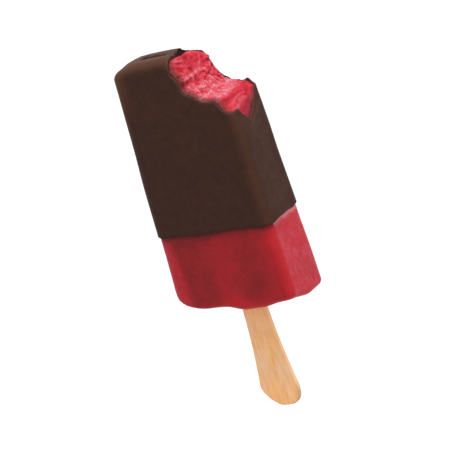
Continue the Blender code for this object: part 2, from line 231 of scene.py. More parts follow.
BITE_PITS = (
    BitePit(213.4, 0.9, 0.7, 0.7),
    BitePit(216.6, 2.4, 0.7, 0.5),
    BitePit(211.0, 5.6, 0.7, 0.5),
    BitePit(206.4, 6.6, 0.7, 0.5),
    BitePit(211.5, 8.6, 0.9, 0.7),
    BitePit(204.0, 8.8, 0.6, 0.6),
    BitePit(222.5, -8.4, 0.6, 0.7),
    BitePit(219.0, -6.0, 0.8, 0.6),
    BitePit(219.5, -2.6, 0.6, 0.5),
    BitePit(233.5, -4.0, 0.5, 0.8),
    BitePit(233.0, -1.8, 0.4, 0.5),
    BitePit(226.5, 4.2, 0.5, 0.5),
    BitePit(197.5, -7.0, 0.25, 0.7),
)
GRAINY_FROM, GRAINY_TO = 206.0, 230.0
PALE_FROM, PALE_TO = 228.5, 249.0

# Broken ice in three sizes. Rise and tone say how far its pieces stand out and how their shade
# varies, more of both where the face is grainy and in the pale band, and crest how much paler
# the high places are painted, as a highlight.
BrokenIce = namedtuple(
    "BrokenIce", "size seed rise rise_grainy rise_band tone tone_grainy tone_band crest"
)
BLOCKS = BrokenIce(4.2, 61, 0.75, -0.6, -0.6, 0.1, 0.0, 0.0, 0.0)
FLAKES = BrokenIce(1.9, 67, 0.12, 0.26, 0.0, 0.03, 0.15, 0.0, 0.2)
GRAINS = BrokenIce(0.85, 71, 0.05, 0.2, 0.08, 0.04, 0.24, 0.12, 0.1)
FACE_TONE, GRAINY_TONE, PALE_TONE, CLEAR_TONE = 0.43, 0.12, 0.38, -0.13

# The fold across the tip, the pit at its end, and the raised welt of chocolate behind it
FOLD_START_X, FOLD_END_X = -11.8, 1.0
FOLD_OPENING, FOLD_CLOSING, FOLD_FADING, FOLD_FAINTEST = 1.0, 3.0, 13.0, 0.25
FOLD_Z, FOLD_SLANT, FOLD_WAVE, FOLD_WAVE_SIZE = 3.5, 0.2, 0.2, 1.7
FOLD_HALF_WIDTH, FOLD_SINK, FOLD_SHADE = 0.5, 0.7, 0.6
FOLD_Y = (90.0, 93.0)
PIT_X, PIT_Z = -11.9, 1.4
PIT_HALF_LENGTH, PIT_HALF_WIDTH, PIT_SINK, PIT_SHADE = 1.6, 1.1, 1.2, 1.6
WELT_LEFT_X, WELT_RISE = -14.8, 0.65
WELT_START, WELT_GROWTH, WELT_LOWEST = 1.6, 8.0, 0.45
WELT_TAIL_X, WELT_TAIL = 10.0, 20.0
WELT_FRONT, WELT_BACK_Z = 0.8, (-10.0, -8.0)

# Where the chocolate of the tip broke off beside the bite, leaving a hollow painted dark as shade
BROKEN_X, BROKEN_SLANT, BROKEN_BORDER = 1.4, 0.4, 0.8
BROKEN_FRONT_Z, BROKEN_FRONT_BORDER = 6.0, 1.0
BROKEN_FAR_Z, BROKEN_FAR_FADING = (-7.0, -9.0), 0.85
BROKEN_Y = (91.0, 93.0)
BROKEN_SINK = 1.2

# A pale streak on the coat's right side, beside the notch
STREAK_START_Y, STREAK_START_Z = 65.7, 1.9
STREAK_END_Y, STREAK_END_Z = 71.5, -6.8
STREAK_HALF_WIDTH, STREAK_PALENESS = 0.6, 0.55
RIGHT_SIDE_X = (20.0, 23.0)  # from where to where the looks of the right side fade in

# How much paler the coat's edges are painted, as highlights: the long edges, the tip, beside the left
# long edge and behind
PALE_EDGE_WIDTH, PALE_LONG_EDGE, PALE_LONG_EDGE_Y = 4.5, 0.3, (60.0, 95.0)
PALE_TIP, PALE_TIP_DEPTH = 0.4, 2.5
PALE_LEFT, PALE_LEFT_X, PALE_LEFT_Y = 0.6, (-15.0, -21.0), (74.0, 92.0)
PALE_BACK, PALE_BACK_WIDTH = 0.2, 20.0
BEHIND_FOLD_SHADE, BEHIND_FOLD_X = 0.6, (-15.0, -12.0)

# How much painted light stands for light through the bare ice, and how wide each bright or dim place is;
# the dim places are painted shade
RIGHT_GLOW, RIGHT_GLOW_RISE, RIGHT_GLOW_WIDTH, RIGHT_GLOW_Y = 0.45, 0.4, 5.0, (0.0, 22.0)
LEFT_GLOW, LEFT_GLOW_DROP, LEFT_GLOW_Y = 0.85, 0.45, (4.0, -4.0)
LEFT_STRIP_WIDTH, LEFT_STRIP_WIDENING = 5.6, 0.1
FOOT_GLOW, FOOT_GLOW_WIDTH, FOOT_GLOW_X = 0.36, 7.0, (-12.0, 10.0)
RIM_GLOW_WIDTH, RIM_GLOW_EXTRA_WIDTH, RIM_GLOW_X, RIM_GLOW_LENGTH = 2.4, 1.4, -1.0, 14.0
MIDDLE_GLOW, MIDDLE_GLOW_START_X = 0.12, (-11.0, -2.0)
MIDDLE_GLOW_EXTRA, MIDDLE_GLOW_X, MIDDLE_GLOW_WIDTH = 0.28, 0.5, 6.5
DIM_PATCH, DIM_PATCH_X, DIM_PATCH_Y, DIM_PATCH_WIDTH, DIM_PATCH_HEIGHT = 0.32, 12.5, 6.0, 5.5, 8.0
COAT_DIM, COAT_DIM_DROP, COAT_DIM_WIDTH, COAT_DIM_X = 0.6, 0.45, 3.0, (-6.0, 10.0)

# How dark the ice is in the coat's shadow, and where its skin shows beside the bite
COAT_SHADOW, COAT_SHADOW_WIDTH, COAT_SHADOW_Z = 0.8, 1.15, (4.0, 8.0)
BITE_SKIN_SHADE, BITE_SKIN_Y = 0.75, (60.0, 65.0)

# Chocolate smear and painted shade along the front border of the bitten face, and painted shade along
# its right border
FRONT_SMEAR_AND_SHADE_WIDTH, BORDER_OVERRUN = 4.2, 0.2
SIDE_BORDER_SHADE, SIDE_BORDER_SHADE_WIDTH, SIDE_BORDER_SHADE_Z = 0.55, 1.8, (3.0, -1.0)

# Frost, partly a painted sheen, on the bare ice. On the narrow sides it starts so far behind the broad
# front.
SIDE_FROST_AND_SHEEN, SIDE_FROST_AND_SHEEN_START, SIDE_FROST_AND_SHEEN_WHOLE = 0.38, 2.6, 3.9
LEFT_FROST_AND_SHEEN, LEFT_EDGE_FROST_AND_SHEEN, LEFT_EDGE_FROST_AND_SHEEN_WIDTH = 0.16, 0.2, 2.0
RIGHT_RIME, LEFT_RIME, RIME_WIDTH, RIME_SIDE_WIDTH = 0.52, 0.3, 0.5, 0.3

# The camera that took the picture, round a point on the bar's middle line
PICTURE_SIDE = 458
CAMERA_TURN = 0.6189
CAMERA_RISE = 0.2548
CAMERA_ROLL = 0.3087
CAMERA_DISTANCE = 600.5
CAMERA_TARGET = Vector((-0.30, 27.34, 0.0))
FOCAL_PIXELS = 1635.2
SENSOR_WIDTH = 36.0

MM = 0.001
stick_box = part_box("wooden_stick")
LAY_BACK = (BASE_DEPTH / 2 + COAT_PROUD) * math.cos(DRAFT)
PADDLE_END = STICK_OUTSIDE * math.cos(DRAFT) + STICK_THICKNESS / 2 * math.sin(DRAFT)
LAY_ALONG = stick_box[0].y / MM + PADDLE_END
LAID_DOWN = Matrix.Translation((0, LAY_ALONG, LAY_BACK)) @ Matrix.Rotation(-DRAFT, 4, "X")


def rising(value, start, end):
    """0 up to start and 1 from end on, smooth in between. Start may be the larger of the two."""
    share = np.clip((value - start) / (end - start), 0.0, 1.0)
    return share * share * (3 - 2 * share)


def hump(value, width):
    """1 where the value is 0, falling away on both sides."""
    return np.exp(-((value / width) ** 2))


def both(first, second, radius):
    """The field of what lies inside both solids, with the edge between them rounded."""
    first_in, second_in = first + radius, second + radius
    outer = np.hypot(np.maximum(first_in, 0), np.maximum(second_in, 0))
    return outer + np.minimum(np.maximum(first_in, second_in), 0) - radius


def graded(*stretches):
    """Grid coordinates from (start, end, step) stretches, each starting where the last one ends."""
    lines = [
        np.linspace(start, end, round((end - start) / step), endpoint=False)
        for start, end, step in stretches
    ]
    return np.concatenate(lines + [[stretches[-1][1]]])


def open_grid(grid):
    return grid[0][:, None, None], grid[1][None, :, None], grid[2][None, None, :]


def lumps(grid, size, seed):
    """Smooth random unevenness all over a grid, about -1 to 1, in lumps of this size."""
    weights = []
    for line in grid:
        place = (line - line[0]) / size + 1.5
        away = np.abs(place[:, None] - np.arange(int(place[-1]) + 4))
        near = 2 / 3 - away**2 + away**3 / 2
        far = np.clip(2 - away, 0, 1) ** 3 / 6
        weights.append(np.where(away < 1, near, far))
    lattice = np.random.default_rng(seed).uniform(-2.4, 2.4, [one.shape[1] for one in weights])
    return np.einsum("ia,jb,kc,abc->ijk", *weights, lattice, optimize=True)


def layered_lumps(grid, layers):
    """Unevenness from several (height, size, seed) layers."""
    return sum(height * lumps(grid, size, seed) for height, size, seed in layers)


def skin(field, grid):
    """The surface where the field is zero, as points and quads: one point in each cell it crosses."""
    cells = tuple(count - 1 for count in field.shape)
    sums = np.zeros((3, math.prod(cells)))
    counts = np.zeros(math.prod(cells))
    quads = []
    for axis in range(3):
        step = np.eye(3, dtype=int)[axis]
        ahead = tuple(slice(size, None) for size in step)
        behind = tuple(slice(None, count - size) for count, size in zip(field.shape, step))
        start = np.argwhere((field[behind] < 0) != (field[ahead] < 0))
        low = field[tuple(start.T)]
        high = field[tuple((start + step).T)]
        points = [grid[side][start[:, side]] for side in range(3)]
        reach = grid[axis][start[:, axis] + 1] - points[axis]
        points[axis] = points[axis] + reach * low / (low - high)
        ring = []
        for second, third in ((0, 0), (-1, 0), (-1, -1), (0, -1)):
            cell = start.copy()
            cell[:, (axis + 1) % 3] += second
            cell[:, (axis + 2) % 3] += third
            index = np.ravel_multi_index(cell.T, cells)
            ring.append(index)
            counts += np.bincount(index, minlength=counts.size)
            for side in range(3):
                sums[side] += np.bincount(index, points[side], minlength=counts.size)
        ring = np.stack(ring, axis=1)
        quads.append(np.where((low < 0)[:, None], ring, ring[:, ::-1]))
    quads = np.concatenate(quads)
    used, quads = np.unique(quads, return_inverse=True)
    return (sums[:, used] / counts[used]).T, quads.reshape(-1, 4)


def add_object(name, data):
    made = bpy.data.objects.new(name, data)
    bpy.context.scene.collection.objects.link(made)
    return made


def add_piece(name, points, faces, material, attributes, replaced):
    """A mesh from points in the mould's frame, with one number per point for each attribute."""
    mesh = bpy.data.meshes.new(name)
    mesh.from_pydata(points * MM, [], faces.tolist())
    mesh.update()
    matrix = LAID_DOWN.copy()
    matrix.translation *= MM
    mesh.transform(matrix)
    mesh.shade_smooth()
    for key, values in attributes.items():
        layer = mesh.attributes.new(key, "FLOAT", "POINT")
        layer.data.foreach_set("value", np.asarray(values, np.float32))
    mesh.materials.append(material)
    piece = add_object(name, mesh)
    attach(piece, "root")
    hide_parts(replaced)
    return piece


# The bar


def half_sizes(y):
    """Half the bare bar's width and half its depth, at a height above its foot."""
    narrowing = y * math.tan(DRAFT)
    return BASE_WIDTH / 2 - narrowing, BASE_DEPTH / 2 - narrowing


def foot_height(x, z):
    """The foot's lower edge: lowest by the stick in front, higher at both corners, even at the back."""
    half_x, half_z = half_sizes(0.0)
    front = rising(z / half_z, *FOOT_FRONT_SHARE)
    off_lowest = np.abs(x - FOOT_LOWEST_X) - FOOT_LOWEST_HALF_WIDTH
    rise = FOOT_FRONT_LIFT + FOOT_FRONT_RISE * rising(off_lowest, 0.0, FOOT_RISE_WIDTH)
    rise = rise + FOOT_LEFT_CORNER_RISE * rising(x, *FOOT_LEFT_CORNER_X)
    rise = rise + FOOT_RIGHT_CORNER_RISE * rising(x, *FOOT_RIGHT_CORNER_X)
    sag = FOOT_SAG + FOOT_BACK_CORNER_SAG * (1 - front) * rising(x, 0.0, half_x)
    return front * rise - sag


def tip_sag(x, z):
    """How far the tip has sunk: at its left corner in front, and all along its back."""
    half_x, half_z = half_sizes(BODY_LENGTH)
    left = rising(x / half_x, *TIP_LEFT_SHARE)
    left_sag = TIP_BACK_LEFT_SAG + (TIP_LEFT_SAG - TIP_BACK_LEFT_SAG) * rising(z, *TIP_FRONT_Z)
    return left_sag * left + TIP_BACK_SAG * rising(z / half_z, *TIP_BACK_SHARE)


def coat_edge(x, z):
    """The coat's lower edge: it slants across the front, climbs on the narrow sides and wanders."""
    half_x, half_z = half_sizes(COAT_EDGE)
    turn = COAT_EDGE_TURN + COAT_EDGE_BACK_TURN * rising(z, 0.0, -half_z)
    side = rising(np.abs(x), half_x - turn, half_x)
    left_climb = COAT_EDGE_LEFT_CLIMB * rising(z / half_z, *COAT_EDGE_LEFT_SHARE)
    right_climb = COAT_EDGE_RIGHT_CLIMB * rising(z / half_z, *COAT_EDGE_RIGHT_SHARE)
    climb = side * np.where(x > 0, right_climb, left_climb)
    bulge = EDGE_BULGE * rising(x, *EDGE_BULGE_LEFT_X) * rising(x, *EDGE_BULGE_RIGHT_X)
    bulge = bulge * rising(z, *EDGE_BULGE_Z)
    (front, front_size), (side, side_size), (fine, fine_size) = COAT_EDGE_RIPPLES
    ripple = front * np.sin(x / front_size) + side * np.sin(z / side_size + 1.0)
    ripple = ripple + fine * np.sin(x / fine_size + z)
    return COAT_EDGE - COAT_EDGE_SLANT * x + climb + ripple + bulge


def bar_sides(x, y, z, grow):
    """How far a place stands out of the narrow sides, and out of the front and back."""
    half_x, half_z = half_sizes(y)
    lean = LEAN * rising(y, *LEAN_Y)
    return np.abs(x - lean) - half_x - grow, np.abs(z) - half_z - grow


def coat_wall(x, y, z):
    """The coat's thickness on the four sides, thinner where it snapped off along the bite."""
    near_bite = rising(bite_depth(x, y, z, coat_reach), -COAT_THINNING, 0.0)
    near_bite = near_bite * (rising(z, *COAT_BROKEN_FRONT_Z) + rising(z, *COAT_BROKEN_BACK_Z))
    return COAT_THICKNESS - (COAT_THICKNESS - COAT_BROKEN_THICKNESS) * near_bite


def bar_field(x, y, z, grow, top):
    """The bar's four drafted sides and its rounded tip, grown outwards; its foot is left open."""
    side_x, side_z = bar_sides(x, y, z, grow)
    above = y + tip_sag(x, z) * rising(y, *TIP_SAG_Y) - top
    around = both(side_x, side_z, LONG_EDGE_RADIUS)
    behind = rising(z, *TIP_BACK_CORNER_Z)
    radius = TIP_CORNER_RADIUS + (TIP_BACK_CORNER_RADIUS - TIP_CORNER_RADIUS) * behind
    corner = both(side_x, above, radius)
    return np.maximum(both(around, above, TIP_EDGE_RADIUS), corner)


# The bite

map_angles = np.arange(165.0, 296.0, 0.25)
map_depths = np.arange(-14.5, 14.51, 0.1)


def notch_reach(angle, z):
    """How much further the bite reaches in the notch."""
    return np.interp(z, *zip(*NOTCH_LINE)) * rising(angle, *NOTCH_ANGLE)


def on_bite_map(angle, z):
    """A place on the bitten face as distances: round the arc, and through the depth."""
    return np.radians(angle) * BITE_RADIUS, z


def distance_to_stretch(first, second, run_first, run_second):
    """How far places are from a straight stretch that starts at 0, 0 and runs so far."""
    along = (first * run_first + second * run_second) / (run_first**2 + run_second**2)
    share = np.clip(along, 0, 1)
    return np.hypot(first - share * run_first, second - share * run_second)


def distance_to_line(arc, z, points):
    """How far places on the bitten face are from a line through (angle, depth) pairs."""
    best = np.full(np.broadcast(arc, z).shape, np.inf)
    for start, end in zip(points, points[1:]):
        start_arc, start_z = on_bite_map(*start)
        end_arc, end_z = on_bite_map(*end)
        run = (end_arc - start_arc, end_z - start_z)
        best = np.minimum(best, distance_to_stretch(arc - start_arc, z - start_z, *run))
    return best


def window(value, low, high, fade):
    """1 between low and high, 0 outside them, with soft borders."""
    opening = rising(value, low - fade / 2, low + fade / 2)
    return opening * rising(value, high + fade / 2, high - fade / 2)


def flakes(size, seed):
    """Broken ice over the map: each flake has its own height and tilt, and a shade from -1 to 1."""
    rng = np.random.default_rng(seed)
    arc, z = on_bite_map(map_angles[:, None], map_depths[None, :])
    arc, z = (arc - arc.min()) / size + 2, (z - z.min()) / size + 2
    arc, z = np.broadcast_arrays(arc, z)
    shape = (int(arc.max()) + 4, int(z.max()) + 4)
    seat = rng.uniform(0.0, 1.0, (2, *shape))
    drop, tilt_arc, tilt_z, shade = rng.uniform(-1.0, 1.0, (4, *shape))
    weight, height, tone = np.zeros(arc.shape), np.zeros(arc.shape), np.zeros(arc.shape)
    for down in (-1, 0, 1):
        for across in (-1, 0, 1):
            cell = arc.astype(int) + down, z.astype(int) + across
            off_arc = arc - cell[0] - seat[0][cell]
            off_z = z - cell[1] - seat[1][cell]
            near = np.exp(-18 * (off_arc**2 + off_z**2))
            weight += near
            height += near * (0.6 * drop[cell] + tilt_arc[cell] * off_arc + tilt_z[cell] * off_z)
            tone += near * shade[cell]
    return height / weight, tone / weight


def make_bite_map():
    """How far the bite reaches for the coat and the ice, how pale the ice's broken face is, with painted
    highlights on its crests and painted shade in its cracks and pits, and where the notch's wall is
    painted in shade.
    """
    angle, z = map_angles[:, None], map_depths[None, :]
    arc, _ = on_bite_map(angle, z)
    lines = (arc[:, 0], map_depths, np.zeros(1))
    crag = [
        [noise.fractal(Vector((s, d, 0)) / BITE_CRAG_SIZE, 1.0, 2.0, 3) for d in map_depths[::4]]
        for s in arc[::2, 0]
    ]
    crag = np.array([np.interp(map_depths, map_depths[::4], row) for row in crag])
    crag = np.array([np.interp(map_angles, map_angles[::2], column) for column in crag.T]).T
    reach = BITE_RADIUS + BITE_LEAN * z + notch_reach(angle, z) + add_marks(TOOTH_MARKS, angle, z)
    reach = reach + BITE_CRAG * crag

    wander = lumps(lines, WANDER_SIZE, 3)[:, :, 0]
    grainy = window(angle + 3 * wander, GRAINY_FROM, GRAINY_TO, 8.0)
    band = window(angle + 2 * wander, PALE_FROM, PALE_TO, 5.0)
    clear = rising(angle + wander, PALE_TO, PALE_TO + 2.0)
    height, tone = flakes(BLOCKS.size, BLOCKS.seed)
    rise = BLOCKS.rise * height * (1 + BLOCKS.rise_grainy * np.maximum(grainy, band)) * (1 - 0.7 * clear)
    pale = FACE_TONE + GRAINY_TONE * grainy + PALE_TONE * band + CLEAR_TONE * clear + BLOCKS.tone * tone
    for ice in (FLAKES, GRAINS):
        height, tone = flakes(ice.size, ice.seed)
        rise = rise + height * (ice.rise + ice.rise_grainy * grainy + ice.rise_band * band)
        pale = pale + tone * (ice.tone + ice.tone_grainy * grainy + ice.tone_band * band)
        # the high places painted paler, as a highlight
        pale = pale + ice.crest * height * (1 - 0.5 * clear)
    for line in BITE_LINES:
        crest = hump(distance_to_line(arc, z, line.points), line.width) * (1 + 0.3 * wander)
        rise = rise + line.rise * crest
        # ridges painted paler as highlights, cracks painted darker as shade
        pale = pale + line.rise * (0.6 if line.rise > 0 else 0.35) * crest
    for pit in BITE_PITS:
        pit_arc, pit_z = on_bite_map(pit.angle, pit.depth)
        hole = hump(np.hypot(arc - pit_arc, z - pit_z), pit.radius)
        rise = rise - pit.sink * hole
        # painted shade in the pits
        pale = pale - 0.5 * hole
    pale = pale + add_marks(BITE_TONES, angle, z)
    # painted shade on the notch's wall
    wall = rising(angle, *NOTCH_WALL_ANGLE) * rising(z, *NOTCH_WALL_FRONT) * rising(z, *NOTCH_WALL_BACK)
    wall = wall * (0.7 + 0.3 * rising(angle, *NOTCH_DEEP_ANGLE))
    return reach + add_marks(COAT_MARKS, angle, z), reach - rise, pale, wall


def add_marks(marks, angle, z):
    """The sum of soft round marks on the map."""
    total = 0.0
    for mark in marks:
        across = (angle - mark.angle) / mark.spread_angle
        through = (z - mark.depth) / mark.spread_depth
        total = total + mark.amount * np.exp(-(across**2) - through**2)
    return total


coat_reach, ice_reach, ice_pale, ice_wall_shade = make_bite_map()


def read_map(values, angle, z):
    """Values of the map at any angles and depths, between its own points."""
    row, column = (
        np.clip((value - line[0]) / (line[1] - line[0]), 0, len(line) - 1.001)
        for value, line in ((angle, map_angles), (z, map_depths))
    )
    top, left = row.astype(int), column.astype(int)
    down, across = row - top, column - left
    upper = values[top, left] * (1 - across) + values[top, left + 1] * across
    lower = values[top + 1, left] * (1 - across) + values[top + 1, left + 1] * across
    return upper * (1 - down) + lower * down


def bite_polar(x, y):
    """Distance from the bite's centre, and the angle round it."""
    from_x, from_y = x - BITE_CENTRE_X, y - BITE_CENTRE_Y
    return np.hypot(from_x, from_y), np.degrees(np.arctan2(from_y, from_x)) % 360


def bite_depth(x, y, z, reach_map):
    """How deep a place lies inside the bite, negative in what is left of the bar."""
    away, angle = bite_polar(x, y)
    spread = np.broadcast_to(angle, np.broadcast(angle, z).shape)
    depths = np.broadcast_to(z, spread.shape)
    return read_map(reach_map, spread, depths) - away


# The three pieces


def make_ice(material):
    grid = (
        graded((-27.0, -20.0, 0.5), (-20.0, -5.0, 1.0), (-5.0, 27.0, 0.3)),
        graded((-3.0, 4.0, 0.4), (4.0, 33.0, 0.62), (33.0, 64.0, 3.0), (64.0, 97.0, 0.28)),
        graded((-14.0, 14.0, 0.3),),
    )
    x, y, z = open_grid(grid)
    top = BODY_LENGTH + COAT_PROUD - COAT_TOP_THICKNESS
    hidden = COAT_PROUD - coat_wall(x, y, z) + COAT_OVERLAP
    above_edge = y - coat_edge(x, z)
    grow = hidden * rising(above_edge, 0.1, 0.6)
    field = bar_field(x, y, z, grow, top + COAT_OVERLAP)
    bare = rising(y, COAT_EDGE + 2.0, COAT_EDGE)
    field = field + ICE_UNEVENNESS * bare * lumps(grid, ICE_UNEVENNESS_SIZE, 11)
    foot_grid = (grid[0], grid[1][:1], grid[2])
    foot = foot_height(x, z) + FOOT_UNEVENNESS * lumps(foot_grid, FOOT_UNEVENNESS_SIZE, 23)
    below = foot * rising(y, FOOT_FADE, 0.0) - y
    swelling = RIGHT_SWELLING * rising(x, *RIGHT_SWELLING_X) * rising(z, *RIGHT_SWELLING_Z)
    swelling = swelling + LEFT_SWELLING * rising(x, *LEFT_SWELLING_X) * rising(y, *LEFT_SWELLING_Y)
    field = field - swelling * rising(above_edge, 1.0, -0.5)
    side_x, _ = bar_sides(x, y, z, grow)
    left_corner = both(np.where(x < 0, side_x, -BASE_LEFT_CORNER_RADIUS), below, BASE_LEFT_CORNER_RADIUS)
    field = np.maximum(both(field, below, BASE_EDGE_RADIUS), left_corner)
    bitten = bite_depth(x, y, z, ice_reach)
    field = both(field, bitten, ICE_RIM)
    points, faces = skin(field, grid)
    px, py, pz = points.T
    half_x, half_z = half_sizes(py)
    _, angle = bite_polar(px, py)
    on_wall_shade = read_map(ice_wall_shade, angle, pz)
    front_smear_and_shade = rising(pz, half_z - FRONT_SMEAR_AND_SHADE_WIDTH, half_z + BORDER_OVERRUN) * (1 - 0.5 * on_wall_shade)
    side_border_shade = SIDE_BORDER_SHADE * rising(px, half_x - SIDE_BORDER_SHADE_WIDTH, half_x + BORDER_OVERRUN)
    side_border_shade = side_border_shade * rising(pz, *SIDE_BORDER_SHADE_Z)
    below_coat = np.maximum(coat_edge(px, pz) - py, 0)
    coat_shadow = COAT_SHADOW * hump(below_coat, COAT_SHADOW_WIDTH) * rising(pz, *COAT_SHADOW_Z)
    frost_and_sheen, rime = ice_frost_sheen_and_rime(px, py, pz)
    attributes = {
        "bitten": rising(bite_depth(px, py, pz, ice_reach), -0.5, 0.0),
        "pale": np.clip(read_map(ice_pale, angle, pz), 0, 1),
        # painted shade on the notch's wall
        "wall": on_wall_shade,
        "grainy": window(angle, GRAINY_FROM, PALE_TO - 4.0, 8.0),
        # chocolate smear and painted shade along the bite's borders
        "smeared_and_shaded": np.maximum(front_smear_and_shade, side_border_shade),
        # frost with a painted sheen
        "frost_and_sheen": frost_and_sheen,
        "rime": rime,
        # painted glow of light through the ice, and painted shade below the coat
        "painted_glow": painted_ice_glow(px, py, pz),
        "shaded": np.maximum(coat_shadow, BITE_SKIN_SHADE * rising(py, *BITE_SKIN_Y)),
    }
    return add_piece("bitten_fruit_ice", points, faces, material, attributes, "fruit_ice")


def left_strip(x, y):
    """1 near the left long edge, in a strip that widens towards the foot, 0 elsewhere."""
    half_x, _ = half_sizes(y)
    width = LEFT_STRIP_WIDTH + LEFT_STRIP_WIDENING * np.clip(COAT_EDGE - y, 0, COAT_EDGE)
    return np.exp(-(((half_x + x) / width) ** 6))


def painted_ice_glow(x, y, z):
    """Painted light, standing for light through the bare ice from behind: most along its long edges and
    its foot, with painted shade just below the coat and in one dim patch.
    """
    half_x, _ = half_sizes(y)
    above_foot = np.maximum(y + FOOT_SAG, 0)
    below_coat = np.maximum(coat_edge(x, z) - y, 0)
    right = RIGHT_GLOW + RIGHT_GLOW_RISE * rising(y, *RIGHT_GLOW_Y)
    right = right * np.exp(-np.maximum(half_x - x, 0) / RIGHT_GLOW_WIDTH)
    left = (LEFT_GLOW - LEFT_GLOW_DROP * rising(y, *LEFT_GLOW_Y)) * left_strip(x, y)
    foot = FOOT_GLOW * hump(above_foot, FOOT_GLOW_WIDTH) * rising(x, *FOOT_GLOW_X)
    rim_width = RIM_GLOW_WIDTH + RIM_GLOW_EXTRA_WIDTH * hump(x - RIM_GLOW_X, RIM_GLOW_LENGTH)
    rim = hump(above_foot, rim_width)
    middle = MIDDLE_GLOW * rising(x, *MIDDLE_GLOW_START_X)
    middle = middle + MIDDLE_GLOW_EXTRA * hump(x - MIDDLE_GLOW_X, MIDDLE_GLOW_WIDTH)
    dim = DIM_PATCH * hump(x - DIM_PATCH_X, DIM_PATCH_WIDTH) * hump(y - DIM_PATCH_Y, DIM_PATCH_HEIGHT)
    under_coat = COAT_DIM - COAT_DIM_DROP * rising(x, *COAT_DIM_X)
    under_coat = under_coat * hump(below_coat, COAT_DIM_WIDTH)
    return np.clip(right + left + foot + rim + middle - dim - under_coat, -0.3, 1)


def ice_frost_sheen_and_rime(x, y, z):
    """Where frost with a painted sheen shows on the bare ice's narrow sides and by its left edge, and
    rime in a line under the coat.
    """
    half_x, half_z = half_sizes(y)
    side = rising(z, half_z - SIDE_FROST_AND_SHEEN_START, half_z - SIDE_FROST_AND_SHEEN_WHOLE)
    side = side * rising(np.abs(x), half_x - 3.0, half_x - 2.0)
    under = hump(y - coat_edge(x, z) + RIME_WIDTH, RIME_WIDTH + RIME_SIDE_WIDTH * side)
    left = LEFT_FROST_AND_SHEEN * left_strip(x, y) + LEFT_EDGE_FROST_AND_SHEEN * hump(half_x + x, LEFT_EDGE_FROST_AND_SHEEN_WIDTH)
    return np.maximum(SIDE_FROST_AND_SHEEN * side, left), np.where(x > 0, RIGHT_RIME, LEFT_RIME) * under * side


def make_coat(material):
    grid = (
        graded((-27.5, -20.0, 0.6), (-20.0, -15.0, 1.0), (-15.0, 27.5, 0.4)),
        graded((29.0, 35.0, 0.42), (35.0, 64.0, 1.6), (64.0, 88.0, 0.45), (88.0, 97.5, 0.36)),
        graded((-14.5, 14.5, 0.4),),
    )
    x, y, z = open_grid(grid)
    uneven = COAT_UNEVENNESS * lumps(grid, COAT_UNEVENNESS_SIZE, 5)
    off_the_back = rising(z, -11.0, -7.0)
    outer = bar_field(x, y, z, COAT_PROUD, BODY_LENGTH + COAT_PROUD) + uneven * off_the_back
    wall = coat_wall(x, y, z)
    inner = bar_field(x, y, z, COAT_PROUD - wall, BODY_LENGTH + COAT_PROUD - COAT_TOP_THICKNESS)
    jagged = layered_lumps(grid, HOLLOW_LUMPS)
    outer = outer + fold_sink(x, y, z) + BROKEN_SINK * broken_share(x + jagged, y, z)
    field = both(outer, -inner, COAT_INNER_RIM)
    field = both(field, coat_edge(x, z) - y, COAT_LIP)
    broken = bite_depth(x, y, z, coat_reach) + layered_lumps(grid, COAT_BROKEN_LUMPS)
    field = both(field, broken, COAT_RIM)
    points, faces = skin(field, grid)
    px, py, pz = points.T
    depth_in = bite_depth(px, py, pz, coat_reach)
    cut = cut_share(px, py, pz, depth_in)
    rim_shown = np.maximum(rising(pz, *PALE_RIM_Z), PALE_RIM_RIGHT * rising(px, *RIGHT_SIDE_X))
    attributes = {
        # painted highlight along the broken rim
        "rim": hump(np.minimum(depth_in, 0), PALE_RIM_WIDTH) * rim_shown,
        "cut": cut,
        "stained": cut * rising(px, *STAINED_RIM_X) * rising(pz, *STAINED_RIM_Z),
        "fold": fold_shade(px, py, pz),
        # painted shade in the hollow
        "hollow_shade": broken_share(px + 0.3, py, pz),
        # painted highlights on the edges, and the pale streak
        "edges": np.maximum(coat_edge_highlights(px, py, pz), pale_streak(px, py, pz)),
    }
    return add_piece(
        "dipped_coat", points, faces, material, attributes, "chocolate_coat"
    )


def cut_share(x, y, z, depth_in):
    """1 on the chocolate's broken face along the bite, 0 on its outside."""
    outside = bar_field(x, y, z, COAT_PROUD, BODY_LENGTH + COAT_PROUD)
    return rising(depth_in, -0.4, 0.0) * rising(outside, 0.0, -0.35)


def fold_lines(x, y, z):
    """Where the fold across the tip runs, and how near a place is to it and to the pit at its end."""
    fold_z = FOLD_Z + FOLD_SLANT * x + FOLD_WAVE * np.sin(x / FOLD_WAVE_SIZE)
    within = rising(x, FOLD_START_X, FOLD_START_X + FOLD_OPENING)
    within = within * rising(x, FOLD_END_X, FOLD_END_X - FOLD_CLOSING)
    strength = rising(x, FOLD_END_X, FOLD_END_X - FOLD_FADING)
    within = within * (FOLD_FAINTEST + (1 - FOLD_FAINTEST) * strength)
    fold = within * hump(z - fold_z, FOLD_HALF_WIDTH)
    pit = hump(x - PIT_X, PIT_HALF_LENGTH) * hump(z - PIT_Z, PIT_HALF_WIDTH)
    return fold_z, fold, pit


def fold_sink(x, y, z):
    """How far the tip's surface sinks in the fold, less the rise of the welt behind it."""
    fold_z, fold, pit = fold_lines(x, y, z)
    from_left = x - z - WELT_LEFT_X
    growth = WELT_LOWEST + (1 - WELT_LOWEST) * rising(from_left, 0.0, WELT_GROWTH)
    along = rising(from_left, 0.0, WELT_START) * growth
    along = along * rising(x, WELT_TAIL_X, WELT_TAIL_X - WELT_TAIL)
    welt = along * rising(z, fold_z, fold_z - WELT_FRONT) * rising(z, *WELT_BACK_Z)
    return rising(y, *FOLD_Y) * (np.maximum(FOLD_SINK * fold, PIT_SINK * pit) - WELT_RISE * welt)


